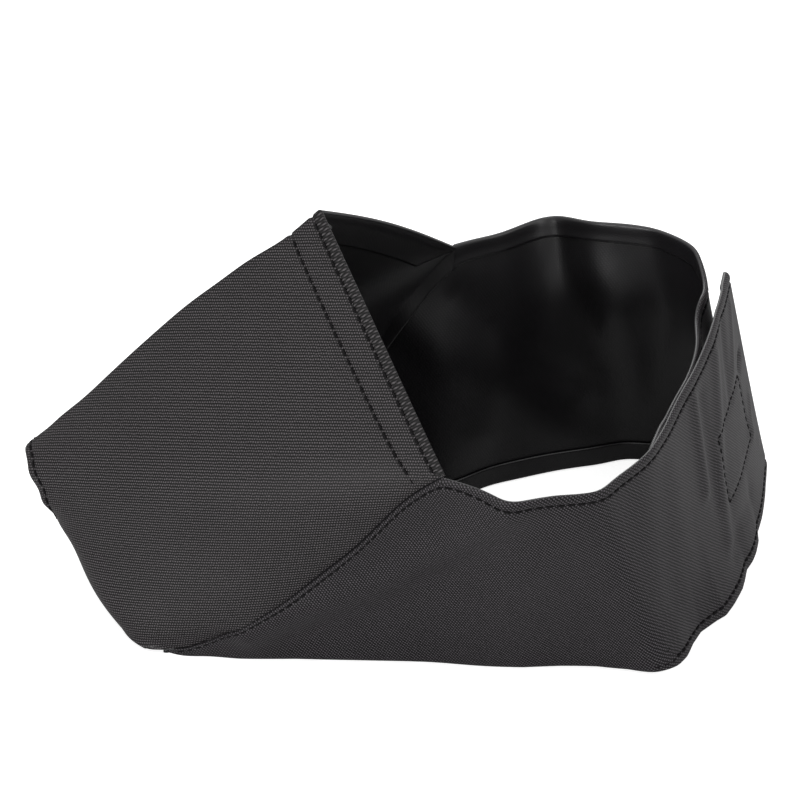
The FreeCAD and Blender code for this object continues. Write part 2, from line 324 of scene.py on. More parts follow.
across = maths(weave, "ADD", in_pitches(split.outputs[1], "Row pitch"), drift)
shifted = maths(weave, "MULTIPLY", maths(weave, "PINGPONG", maths(weave, "FLOOR", across), 1.0), 0.5)
along = maths(weave, "ADD", in_pitches(split.outputs[0], "Bead pitch"), shifted)
bead = maths(weave, "ADD", maths(weave, "MULTIPLY", wave(along), 0.88), 0.12)
patchy = add_node(weave, "TexNoise", {"Vector": given.outputs["Place"], "Scale": 70.0, "Detail": 4.0})
fill(weave, result, {"Height": maths(weave, "MULTIPLY", wave(across), bead), "Tone": patchy.outputs[0]})


def cloth_finish(name, gap, thread, rough, depth, turn=0.0, sheen=0.0, row_pitch=0.62, bead_pitch=0.6,
                 specular=0.15):
    """A woven finish: gap and thread are colours between and on the threads, depth their height in mm. The gap colour
    is painted shade in the hollows between the threads, mixed in by the threads' height.
    """
    material, tree, shader = new_material(name)
    place = add_node(tree, "UVMap", uv_map="Cloth")
    mapping = add_node(tree, "Mapping", {0: place.outputs[0], "Rotation": (0, 0, math.radians(turn))})
    cloth = add_node(tree, "Group", {}, node_tree=weave)
    fill(tree, cloth, {"Row pitch": row_pitch, "Bead pitch": bead_pitch, "Place": mapping.outputs[0]})
    mix = add_node(tree, "Mix", {}, data_type="RGBA")
    fill(tree, mix, {6: (*gap, 1.0), 7: (*thread, 1.0), 0: cloth.outputs["Height"]})
    level = maths(tree, "ADD", maths(tree, "MULTIPLY", cloth.outputs["Tone"], 0.3), 0.85)
    grey = add_node(tree, "CombineColor", {channel: level for channel in range(3)})
    tone = add_node(tree, "Mix", {0: 1.0, 6: mix.outputs[2], 7: grey.outputs[0]}, data_type="RGBA",
                    blend_type="MULTIPLY")
    roughness = maths(tree, "ADD", maths(tree, "MULTIPLY", cloth.outputs["Tone"], 0.12), rough - 0.06)
    bump = add_node(tree, "Bump", {"Distance": depth * MM, "Strength": 1.0, "Height": cloth.outputs["Height"]})
    fill(tree, shader, {"Base Color": tone.outputs[2], "Roughness": roughness, "Normal": bump.outputs[0],
                        "Specular IOR Level": specular, "Sheen Weight": sheen, "Sheen Roughness": 0.5})
    return material


# SHADE is painted shade: the near-black that the hollows between the threads are given.
SHADE = (0.001, 0.001, 0.001)
face_cloth = cloth_finish("Face_oxford", SHADE, (0.1085, 0.0985, 0.1035), 0.5, 0.07, -56.0)
# The bands and the throat panel take the face's oxford painted a little darker: painted shade on the bands' walls.
shaded_band_cloth = cloth_finish("Band_oxford_painted_shade", SHADE, (0.0985, 0.089, 0.0985), 0.5, 0.05, 48.0)
coated = cloth_finish("Coated_back", (0.0065, 0.006, 0.0068), (0.0115, 0.0108, 0.0122), 0.36, 0.012, 50.0,
                      specular=0.42)
print("materials", [m.name for m in bpy.data.materials])

# %% [markdown]
# The neck bands come first, because the face cover is sewn onto their front edges. Each band is one piece of
# cloth from the chin to its own end. Its lower edge stands on the table and its upper edge is 62 mm higher along
# straight ribs, so pairs of marks give the whole shape: where each rib stands and where its head leans to.
# %% Marks of the two bands
BAND_WIDE = 62.0
CHIN_HALF = 31.0
SEAM_LEAN = 0.264
SEAM = [(-50.4, 0.6), (-46.2, 1.9), (-41.3, 4.3), (-32.6, 11.3), (-23.6, 19.2), (-14.5, 28.6), (-6.8, 37.6),
        (3.0, 51.7), (10.4, 59.6)]
TUCK = 1.5
LEFT_RIBS = [
    (10, -30.5, 10.4, -47.7), (20, -31, 19, -50.9), (31, -31.3, 26, -52.9), (43, -31.4, 34, -51.3),
    (57.5, -31.2, 42.4, -46.9), (62, -26, 48.7, -41.1), (66, -18.5, 55.2, -32.1), (69.6, -11.5, 57.8, -22.5),
    (72.6, -5.5, 60.8, -13), (75.3, 1.5, 63.1, -6), (78.6, 10.5, 66.1, 4.8), (82, 25, 69.4, 20.3),
    (84.5, 48.7, 72.1, 37.5),
]
RIGHT_RIBS = [
    (10, 31, 10, 47), (16, 35.8, 16.3, 50), (25, 40.7, 26, 57.6), (32.5, 44, 32.8, 61.2), (41, 47.3, 41.1, 57.6),
    (49, 49.6, 49.4, 55), (57, 51, 57.5, 51.3), (66, 51.2, 64.6, 45), (73, 49.8, 66.2, 40.6),
    (78.5, 45, 67.8, 32.5), (80.3, 36.5, 68.3, 26),
]
TAIL_RIBS = (11, 10, 9, 8, 7, 6)
TAIL_FOOT, TAIL_HEAD, TAIL_DROP = 3.2, 1.4, 2.2


def stand(rib):
    """Foot and head of a rib, in millimetres, from where it stands and where its head is seen from above."""
    x, y, head_x, head_y = rib
    high = math.sqrt(BAND_WIDE**2 - (head_x - x)**2 - (head_y - y)**2)
    return np.array((x, y, 0.0)), np.array((head_x, head_y, high))


def cheek_marks(side):
    """Feet and heads of the ribs in front of the band's corner. The tip at the chin is tucked in."""
    feet, heads = [], []
    for x, z in SEAM[:-1]:
        tuck = TUCK * (1 - ease(x, -50.4, -46))
        feet.append(np.array((x, side * (CHIN_HALF - 0.5 * ease(x, -45, 10) - tuck), 0.0)))
        heads.append(np.array((x, side * (CHIN_HALF + SEAM_LEAN * z - tuck), z)))
    return feet, heads


left_marks = [stand(rib) for rib in LEFT_RIBS]
left_feet, left_heads = [m[0] for m in left_marks], [m[1] for m in left_marks]
right_marks = [stand(rib) for rib in RIGHT_RIBS]
right_feet, right_heads = [m[0] for m in right_marks], [m[1] for m in right_marks]
for k in TAIL_RIBS:
    for line, marks, gap in ((right_feet, left_feet, TAIL_FOOT), (right_heads, left_heads, TAIL_HEAD)):
        run = unit((marks[k + 1] - marks[k - 1])[:2])
        drop = TAIL_DROP * (line is right_heads)
        line.append(marks[k] + gap * np.array((-run[1], run[0], 0.0)) - (0, 0, drop))
print("left ribs", len(left_feet), "right ribs", len(right_feet))

# %% [markdown]
# A wall of cloth between its marks is worked out as a fine grid of places. Diffusing the grid a little takes the
# sharp bends out of it, because cloth is stiff enough to spread a fold over several millimetres. Folds and
# wrinkles are then pushed in or out along the cloth's own direction.
# %% The wall of a band
ROW_STEP = COLUMN_STEP = 0.7


def relax(grid, rounds):
    """The grid after its inner places moved towards their neighbours a number of times."""
    grid = grid.copy()
    for _ in range(rounds):
        inner = grid[1:-1, 1:-1]
        pull = grid[:-2, 1:-1] + grid[2:, 1:-1] + grid[1:-1, :-2] + grid[1:-1, 2:] - 4 * inner
        grid[1:-1, 1:-1] = inner + 0.2 * pull
    return grid


def facing(grid, side):
    """Outward directions of a grid of places. Side is 1 or -1, and picks the face."""
    return unit(np.cross(np.gradient(grid, axis=1), np.gradient(grid, axis=0)) * side)


class Band:
    """A band's wall: rows run from its upper edge down to the table, and columns from the chin to its end."""

    def __init__(self, side, feet, heads, corner_at):
        self.side = side
        feet, heads = np.array(feet), np.array(heads)
        middle = (feet + heads) / 2
        knots = np.r_[0.0, np.cumsum(np.linalg.norm(np.diff(middle, axis=0), axis=1))]
        self.corner = knots[corner_at]
        self.end = knots[-1]
        self.knots = knots
        foot_line = smooth_line(feet, knots)[0]
        seam_line = smooth_line(heads[:corner_at + 1], knots[:corner_at + 1])[0]
        top_line = smooth_line(heads[corner_at:], knots[corner_at:])[0]
        self.s = np.unique(np.r_[steps(0, self.corner, COLUMN_STEP), steps(self.corner, self.end, COLUMN_STEP)])
        low = foot_line(self.s)
        high = np.where((self.s < self.corner)[:, None], seam_line(self.s), top_line(self.s))
        self.tall = np.linalg.norm(high - low, axis=1)
        self.f = np.linspace(1.0, 0.0, 88)
        self.wall = relax(low + (high - low) * self.f[:, None, None], 60)
        self.flat_low, self.flat_high = unroll(low, high)
        self.up = unit(high - low)
        self.face_out()

    def face_out(self):
        """Works out the outward directions. Where the wall is only a few millimetres high they are evened out."""
        out = facing(self.wall, self.side)
        share = ease(self.tall, 3, 14)[None, :, None]
        self.out = unit(out * share + unit(out.mean(axis=0)) * (1 - share))

    def push(self, amount):
        """Moves the wall outwards. amount is a function of place along the band and height above the table."""
        s, h = np.broadcast_arrays(self.s[None, :], self.f[:, None] * self.tall[None, :])
        amounts = amount(s, h) * ease(self.tall, 2, 12)[None, :]
        self.wall = self.wall + self.out * amounts[..., None]
        self.face_out()

    def look(self, table, s, f):
        """Values of a table at places along the band and shares of the rib's length."""
        i = np.interp(s, self.s, np.arange(len(self.s)))
        j = np.interp(-f, -self.f, np.arange(len(self.f)))
        i0, j0 = np.minimum(i.astype(int), len(self.s) - 2), np.minimum(j.astype(int), len(self.f) - 2)
        a, b = (i - i0)[..., None], (j - j0)[..., None]
        return (table[j0, i0] * (1 - a) * (1 - b) + table[j0, i0 + 1] * a * (1 - b)
                + table[j0 + 1, i0] * (1 - a) * b + table[j0 + 1, i0 + 1] * a * b)

    def high(self, s):
        return np.interp(s, self.s, self.tall)

    def place(self, s, h, depth=0.0):
        """Places on the cloth's outer face, or depth under it, in millimetres."""
        s, h, depth = np.broadcast_arrays(np.asarray(s, float), np.asarray(h, float), np.asarray(depth, float))
        f = np.clip(h / self.high(s), 0.0, 1.0)
        wall = self.look(self.wall, s, f) + read(s, self.s, self.up) * np.minimum(h, 0)[..., None]
        return wall - self.look(self.out, s, f) * depth[..., None]

    def outward(self, s, h):
        s, h = np.broadcast_arrays(np.asarray(s, float), np.asarray(h, float))
        return unit(self.look(self.out, s, np.clip(h / self.high(s), 0.0, 1.0)))

    def flat(self, s, c):
        """Flat places for places along the band and distances up the cloth."""
        low, high = read(s, self.s, self.flat_low), read(s, self.s, self.flat_high)
        return low + unit(high - low) * c[..., None]


left_band = Band(-1, cheek_marks(-1)[0] + left_feet, cheek_marks(-1)[1] + left_heads, len(SEAM) - 1)
right_band = Band(1, cheek_marks(1)[0] + right_feet, cheek_marks(1)[1] + right_heads, len(SEAM) - 1)

FLARE = ((-50, 0.0), (-44, 0.6), (-20, 1.0), (28, 1.0), (36, 0.4), (44, 0.1), (51, 0.5), (57.5, 2.0),
         (60, 2.4), (62, 2.2), (64.3, 1.1), (66.5, 0.7), (69, 2.2), (70.2, 3.2), (72, 3.2), (74.4, 2.9), (75.6, 2.3),
         (77, 1.4), (78.2, 1.7), (79.2, 1.6), (80.4, 1.1), (81.2, 0.2), (82.3, 0.5), (84.5, 0.6))


def left_flare(s, h):
    """How far the left band's lower edge waves outwards, more at the table than above it."""
    foot_x = left_band.wall[-1, :, 0][None, :]
    reach = np.interp(foot_x, *zip(*FLARE))
    return reach * np.exp(-h / 13.0)


left_band.push(left_flare)


def crease(marks, wide, amount):
    """A soft ridge, or a dent where amount is below 0, along marks of (place along the band, height)."""
    marks = np.array(marks, float)

    def push(s, h):
        spot = np.stack((s, h), axis=-1)
        near = np.full(s.shape, np.inf)
        for a, b in zip(marks[:-1], marks[1:]):
            t = np.clip(((spot - a) @ (b - a)) / ((b - a) @ (b - a)), 0, 1)
            near = np.minimum(near, np.linalg.norm(spot - a - t[..., None] * (b - a), axis=-1))
        return amount * np.exp(-((near / wide) ** 2))

    return push


def rectangle(s_range, h_range):
    """The corners of a rectangle on a band, back to the first."""
    (s0, s1), (h0, h1) = s_range, h_range
    return [(s0, h0), (s1, h0), (s1, h1), (s0, h1), (s0, h0)]


PATCH_S, PATCH_H = (156.0, 183.0), (20.6, 39.6)
PATCH_RECTANGLE = rectangle(PATCH_S, PATCH_H)
LEFT_CREASES = [
    (((109.0, 60), (108.6, 35), (109.4, 0)), 3.4, 0.7),
    (((106.0, 60), (90, 40), (83, 25), (77, 9)), 8.0, 0.8),
    (((97, 62), (84, 44), (70, 30)), 6.0, -0.5),
    (((128, 62), (124, 40), (120, 18)), 5.0, -0.5),
    (((146.8, 56), (145.8, 47), (144, 33)), 2.4, 0.75),
    (((152, 54), (150.5, 40), (149, 26)), 3.0, -0.5),
    (((165, 56), (160, 44), (153.5, 30), (150, 14)), 3.0, 0.65),
    (((176, 58), (173, 50), (171, 42)), 2.6, -0.45),
    (((186, 40), (190, 41)), 1.6, -0.9),
    (((189, 56), (184, 50), (178, 44)), 2.0, 0.35),
    (((191, 27), (186, 21)), 2.0, 0.35),
    (((184, 22), (192, 14)), 2.6, 0.4),
    (((150, 8), (160, 13), (172, 12)), 3.0, -0.35),
    (((32, 8), (50, 14), (66, 30)), 5.0, -0.35),
    (((84, 57), (75, 47), (68, 40), (58, 30.6), (45.5, 23.7), (33, 17.4), (20, 9.5)), 5.0, 1.6),
]
RIGHT_CREASES = [
    (((92.6, 62), (96.6, 52), (100.6, 45), (104.4, 38), (110, 24), (113, 8), (114, -8)), 4.6, 0.55),
    (((101.5, 64), (105, 52), (108.8, 44), (111, 36), (117, 18), (121, 0)), 4.6, -0.6),
    (((56, 44), (66, 36), (82, 25), (98, 10), (106, 2)), 6.0, -0.7),
    (((103, 45), (110, 42)), 9.0, -1.3),
    (((80, 62), (84, 40), (78, 14)), 5.0, -0.7),
    (((108, 62), (112, 44), (106, 20)), 6.0, -0.6),
    (((70, 50), (88, 30), (100, 22)), 4.0, 0.5),
    (((118, 60), (122, 40), (118, 10)), 3.5, 0.5),
]
CLOSURE_LEAN = 3.2


def lean_in(s, h):
    """How far the right strap's upper edge leans in beside the closure."""
    return -CLOSURE_LEAN * np.exp(-(((s - 156.0) / 12.5) ** 2)) * ease(h, 32, 60)


for band, creases in ((left_band, LEFT_CREASES), (right_band, RIGHT_CREASES)):
    for marks, wide, amount in creases:
        band.push(crease(marks, wide, amount))
left_band.push(crease(PATCH_RECTANGLE, 0.8, -0.25))
right_band.push(lean_in)
for label, band in (("left", left_band), ("right", right_band)):
    print(label, "band: corner at", round(band.corner, 1), "end at", round(band.end, 1), "mm")

# %% [markdown]
# A band's edges are turned in and stitched. Seen from the end, the cloth runs from the inner edge of the top hem
# over a tight fold, down the wall, and round the lower edge. Near the face the lower edge is rolled and lies on
# the table, and further back it is turned up into a hem as the top is. The section is drawn once as distances up
# and depths under the outer face, and is swept along the band.
# %% Sweep the section along a band
# Radii of a hem's fold and of the rolled edge, and widths of what is turned in, in millimetres.
FOLD, CORNER_FOLD, ROLL = 0.55, 0.78, 2.0
HEM, LOWER_HEM, END_HEM, FLAP = 4.2, 4.2, 7.0, 7.0
SEAM_STITCH, STRAP_STITCH, NO_STITCH = 1.6, 2.6, 40.0
FLAP_ROWS, TURN_ROWS = 8, 10
ARC = np.radians(np.linspace(0, 180, 9))
LEAST_FOLD = 0.46
GROOVE_DEEP, GROOVE_WIDE = 0.36, 0.38
FLAP_PRESSED = 0.16
SMALL_BELOW = 22.0


def groove(distance, wide=1.0):
    """Depth of the groove that a row of stitches pulls into the cloth, at a distance from the row."""
    return np.exp(-(distance / (GROOVE_WIDE * wide)) ** 2) * GROOVE_DEEP


def pressed(a):
    """How much closer a turned-in flap lies, at distance a from its fold."""
    return FLAP_PRESSED * ease(a, 0.5, 2.5)


def smallness(tall):
    """Size of a band's edges against their full size: they shrink to nothing towards the chin."""
    return np.minimum(1.0, tall / SMALL_BELOW)


def hem_stitch(band, s):
    """How far under the upper edge the stitches run: nearer on the seam to the face than on the strap."""
    on_strap = ease(s, band.corner - 2, band.corner + 12)
    under = SEAM_STITCH + (STRAP_STITCH - SEAM_STITCH) * on_strap
    return under * np.maximum(smallness(band.high(s)), 0.5)


def band_section(band, s, hem_start):
    """Heights and depths of every row of the section at places s along the band."""
    tall = band.high(s)
    small = smallness(tall)
    corner = ease(s, band.end - 11, band.end - 8)
    fold = np.maximum((FOLD + (CORNER_FOLD - FOLD) * corner) * small, LEAST_FOLD)
    rows, hem_rows = [], steps(HEM, 0.5, 0.6)

    def add(h, depth):
        rows.append(np.stack(np.broadcast_arrays(h, depth), axis=-1))

    for a in hem_rows:
        add(tall - fold - a * small, 2 * fold - pressed(a) * small * (1 - corner))
    for angle in ARC[::-1]:
        add(tall - fold + fold * math.sin(angle), fold * (1 - math.cos(angle)))
    stitch, wide = hem_stitch(band, s), np.maximum(small, 0.5)
    top_rows = np.r_[steps(0.2, 5.0, 0.3)]
    for a in top_rows:
        swell = 0.1 * np.exp(-((fold + a * small - 0.5 * stitch) / (0.45 * stitch)) ** 2)
        add(tall - fold - a * small, (groove(fold + a * small - stitch, wide) - swell) * wide)
    share = ease(s, hem_start, hem_start + 9)
    lean = np.interp(s, band.s, np.arctan2(band.up[:, 2], 1e-6 - band.out[-1, :, 2]))
    turn = lean + (math.pi - lean) * share
    radius = (ROLL + (FOLD - ROLL) * share) * small
    radius = np.where(corner > 0, radius + (CORNER_FOLD - FOLD) * corner, radius)
    rise = np.interp(s, band.s, band.up[:, 2])
    sink = np.interp(s, band.s, -band.out[-1, :, 2])
    start = radius * (1 - sink) / rise
    low_stitch = STRAP_STITCH * small * share + (1 - share) * NO_STITCH
    top_end = tall - fold - top_rows[-1] * small
    low_rows = steps(5.0, 0.2, 0.4)
    low_start = start + low_rows[0] * small
    for t in np.linspace(0, 1, 62)[1:-1]:
        add(top_end + (low_start - top_end) * t, 0.0)
    for a in low_rows:
        add(start + a * small, groove(a * small + radius - low_stitch, small) * small)
    for t in np.linspace(0, 1, TURN_ROWS + 1):
        angle = turn * t
        add(start - radius * np.sin(angle), radius * (1 - np.cos(angle)))
    flap = (FLAP + (LOWER_HEM - FLAP) * share) * small
    for t in np.linspace(0, 1, FLAP_ROWS + 1)[1:]:
        add(start - radius * np.sin(turn) - flap * t * np.cos(turn),
            radius * (1 - np.cos(turn)) + flap * t * np.sin(turn))
    lining = np.zeros(len(rows) - 1, int)
    lining[:len(hem_rows) + len(ARC) // 2] = 1
    lining[-FLAP_ROWS - 4:] = 1
    return np.stack(rows), lining


def band_patches(band, hem_start):
    """Patches of one band: the wall with its turned edges, and the hem at the band's end."""
    along = band.s[band.s < band.end - CORNER_FOLD]
    turn = np.radians(np.linspace(0, 90, 5))
    bend_s = band.end - CORNER_FOLD + CORNER_FOLD * np.sin(turn)
    s = np.r_[along, bend_s]
    extra = np.r_[np.zeros(len(along)), FOLD * (1 - np.cos(turn))]
    rows, lining = band_section(band, s, hem_start)
    h, depth = rows[..., 0], rows[..., 1]
    cloth = np.r_[np.zeros((1, len(s))), np.cumsum(np.linalg.norm(np.diff(rows, axis=0), axis=2), axis=0)]
    middle = len(rows) // 2
    cloth = h[middle] + cloth[middle] - cloth
    s_rows = np.broadcast_to(s, h.shape)
    places = band.place(s_rows, h, depth + extra * (1 - np.clip(depth / (2 * CORNER_FOLD), 0, 1)))
    flat = band.flat(s_rows, cloth)
    wall_rows = np.where((depth[:, -1] < 0.5) & (h[:, -1] > 2.2) & (h[:, -1] < band.tall[-1] - 1.4))[0]
    wall_rows = np.arange(wall_rows[0], wall_rows[-1] + 1)
    back = np.radians(np.linspace(90, 180, 5))
    back_s = band.end - CORNER_FOLD + CORNER_FOLD * np.sin(back)
    back_extra = FOLD * (1 - np.cos(back))
    inner_s = band.end - CORNER_FOLD - steps(0, END_HEM, 0.8)[1:]
    back_s = np.r_[back_s, inner_s]
    back_extra = np.r_[back_extra, np.full(len(inner_s), 2 * FOLD)]
    h_back = np.broadcast_to(h[wall_rows, -1][:, None], (len(wall_rows), len(back_s)))
    d_back = depth[wall_rows, -1][:, None] * np.exp(-np.arange(len(back_s)) / 2.0)
    s_back = np.broadcast_to(back_s, h_back.shape)
    hem_places = band.place(s_back, h_back, back_extra + d_back)
    hem_places[:, 0] = places[wall_rows, -1]
    beyond = np.r_[0.0, np.cumsum(np.hypot(np.diff(back_s), np.diff(back_extra)))]
    edge = flat[wall_rows, -1]
    run = unit(edge - flat[wall_rows, -2])
    hem_flat = edge[:, None] + run[:, None] * beyond[:, None]
    return [(places, flat, lining), (hem_places, hem_flat, np.ones(len(wall_rows) - 1, int))]


LEFT_HEM, RIGHT_HEM = left_band.corner + 36, right_band.corner - 16
left_patches, right_patches = band_patches(left_band, LEFT_HEM), band_patches(right_band, RIGHT_HEM)
band_left = sew_sheet("band_left", left_patches, [shaded_band_cloth, coated], flip=True)
band_right = sew_sheet("band_right", right_patches, [shaded_band_cloth, coated])

# %% [markdown]
# The face cover is two halves joined along a ridge over the nose and along the chin. Each half starts from half
# of the small nose opening and widens to the forehead edge, the seam to the cheek and the chin. Straight ribs
# from the nose to that outline would leave sharp bends, so the half is worked out as a grid, puffed out a
# little where the cloth stands away from its outline, and relaxed as the bands were.
# %% Outline of the face cover
NOSE_TOP, NOSE_LOW = np.array((-83.2, 0.0, 32.8)), np.array((-76.3, 0.0, 17.5))
NOSE_SIDE = np.array((0.9, 8.4, -0.2))
PEAK = np.array((-17.0, 0.0, 95.0))
RIDGE = [(-83.2, 32.8), (-79.6, 36.1), (-74.8, 41.2), (-70.1, 45.6), (-65.5, 50.4), (-58.6, 57.8), (-51.8, 64.8),
         (-45.1, 71.3), (-38.5, 76.9), (-32.0, 82.3), (-27.7, 85.3), (-24.4, 87.8), (-21.2, 90.8), (-17.0, 95.0)]
CHIN = [(-53.6, 30.2), (-58.3, 26.3), (-61.5, 20.5), (-63.0, 10.0), (-63.3, 0.0)]
CHIN_HIGH = 1.0
PUFF = ((0, 0.0), (25, 1.2), (50, 2.2), (70, 3.4), (90, 4.4), (110, 4.6), (130, 3.6), (150, 1.4), (180, 0.2))
BELLY = [(-74.9, 9.0, 18.3), (-72.3, 12.5, 16.5), (-67.6, 18.5, 10.4), (-62.7, 24.0, 5.9)]
BELLY_TURN, BELLY_SPREAD = 142.0, 24.0
LOWEST = 0.7

SEAM_DEPTH = 1.25
CHEEK_TURN, CHIN_TURN = 70.0, 130.0
FACE_ROWS = 104


def nose_rim(angle, side):
    """Places on the nose opening's edge. The angle runs from its top, 0, to its lowest place, 180 degrees."""
    middle, reach = (NOSE_TOP + NOSE_LOW) / 2, (NOSE_TOP - NOSE_LOW) / 2
    a = np.radians(angle)[..., None]
    ripple = 0.35 * np.sin(a * 7 + side)
    return middle + np.cos(a) * reach + np.sin(a) * (NOSE_SIDE * (1, side, 1) + ripple * (0.8, 0, 0.3))


def seam_depth(band, s):
    """How far under the band's outer face the cover is sewn on."""
    return SEAM_DEPTH * np.maximum(smallness(band.high(s)), 0.6)


class Face:
    """One half of the face cover: rows run from the nose to the outline, columns from the ridge to the chin."""

    def __init__(self, side, band, forehead_bow):
        self.side = side
        seam_s = steps(band.corner, 2.5, 0.8)
        seam = band.place(seam_s, band.high(seam_s), seam_depth(band, seam_s))
        count = 82
        t = np.linspace(0, 1, count)
        forehead = PEAK + (seam[0] - PEAK) * t[:, None]
        forehead[:, 2] += forehead_bow * np.sin(math.pi * t)
        self.forehead_count = count
        t = np.linspace(0, 1, 42)[1:]
        line, length = smooth_line([seam[-1]] + [(x, side * y, CHIN_HIGH) for x, y in CHIN])
        chin = line(t * length)
        self.rear = np.concatenate((forehead, seam[1:], chin))
        self.seam_s = seam_s
        self.turns = np.r_[np.linspace(0, CHEEK_TURN, count), np.linspace(CHEEK_TURN, CHIN_TURN, len(seam_s))[1:],
                           np.linspace(CHIN_TURN, 180, 42)[1:]]
        self.nose = nose_rim(self.turns, side)
        v = np.linspace(0, 1, FACE_ROWS)[:, None, None]
        grid = self.nose + (self.rear - self.nose) * v
        out = facing(grid, -side)
        out[:, 0, 1] = out[:, -1, 1] = 0
        out = unit(out)
        line, length = smooth_line([(x, 0.0, z) for x, z in RIDGE])
        ridge = line(v[:, 0, 0] * length)
        puff = smooth_line([(p,) for _, p in PUFF], [turn for turn, _ in PUFF])[0](self.turns)[:, 0]
        profile = np.sin(np.pi * v[..., 0] ** 1.15) ** 0.8
        grid = grid + out * (puff * profile)[..., None]
        grid += (ridge - grid[:, 0])[:, None] * (1 - ease(self.turns, 0, 60))[None, :, None]
        column = np.argmin(abs(self.turns - BELLY_TURN))
        marks = [grid[0, column]] + [(x, side * y, z) for x, y, z in BELLY] + [grid[-1, column]]
        line, length = smooth_line(marks)
        spread = np.exp(-(((self.turns - BELLY_TURN) / BELLY_SPREAD) ** 2))[None, :, None]
        spread = spread * np.where(self.turns[:, None] < 180, 1.0, (1.0, 0.0, 1.0))
        for rounds in (220, 30):
            grid += (line(v[:, 0, 0] * length) - grid[:, column])[:, None] * spread
            grid[..., 2] = np.maximum(grid[..., 2], LOWEST)
            grid = relax(grid, rounds)
        self.grid = grid
        self.finish()

    def finish(self):
        self.out = facing(self.grid, -self.side)
        self.out[:, 0, 1] = self.out[:, -1, 1] = 0
        self.out = unit(self.out)
        gaps = np.linalg.norm(np.diff(self.grid, axis=0), axis=2)
        self.run = np.concatenate((np.zeros((1, gaps.shape[1])), np.cumsum(gaps, axis=0)))
        low, high = unroll(self.nose, self.rear)
        columns = np.unique(np.r_[np.arange(0, self.grid.shape[1], 4), self.grid.shape[1] - 1])
        rows = np.unique(np.r_[np.arange(0, FACE_ROWS, 4), FACE_ROWS - 1])
        share = (self.run / self.run[-1])[..., None]
        start = (low + (high - low) * share)[np.ix_(rows, columns)]
        coarse = spring_flat(self.grid[np.ix_(rows, columns)], start)
        wide = np.stack([[np.interp(np.arange(self.grid.shape[1]), columns, row[:, k]) for row in coarse]
                         for k in (0, 1)], axis=-1)
        self.flats = np.stack([[np.interp(np.arange(FACE_ROWS), rows, wide[:, i, k])
                                for i in range(self.grid.shape[1])] for k in (0, 1)], axis=-1).transpose(1, 0, 2)

    def rows_at(self, back, depth=0.0):
        """Places at distances back from the outline along every column, depth under the outer face."""
        back = np.broadcast_to(back, (self.grid.shape[1],))
        depth = np.broadcast_to(depth, (self.grid.shape[1],))
        places = np.empty((self.grid.shape[1], 3))
        for i in range(self.grid.shape[1]):
            d = self.run[-1, i] - back[i]
            place, out = read(d, self.run[:, i], self.grid[:, i]), read(d, self.run[:, i], self.out[:, i])
            places[i] = place - out * depth[i]
        return places

    def flat_at(self, back):
        """Flat places at distances back from the outline; distances below 0 are beyond it."""
        back = np.broadcast_to(back, (self.grid.shape[1],))
        out = np.empty((self.grid.shape[1], 2))
        for i in range(self.grid.shape[1]):
            d = self.run[-1, i] - back[i]
            inside = min(max(d, 0.0), self.run[-1, i])
            end = -1 if d > inside else 0
            run = unit(self.flats[-1, i] - self.flats[-2, i]) if end else unit(self.flats[1, i] - self.flats[0, i])
            out[i] = read(inside, self.run[:, i], self.flats[:, i]) + run * (d - inside)
        return out


face_l = Face(-1, left_band, 0.0)
face_r = Face(1, right_band, 1.6)
print("face columns", face_l.grid.shape, "ridge", round(float(face_l.run[-1, 0]), 1), "mm")

# %% Sheets of the face cover
FACE_HEM = 9.8
THROAT_HEM = 7.0
NOSE_HEM = 4.0
STITCH_ROWS = (2.6, 8.9)
NOSE_STITCH = 1.8
STRIP = 1.8
ALLOWANCE = 5.0


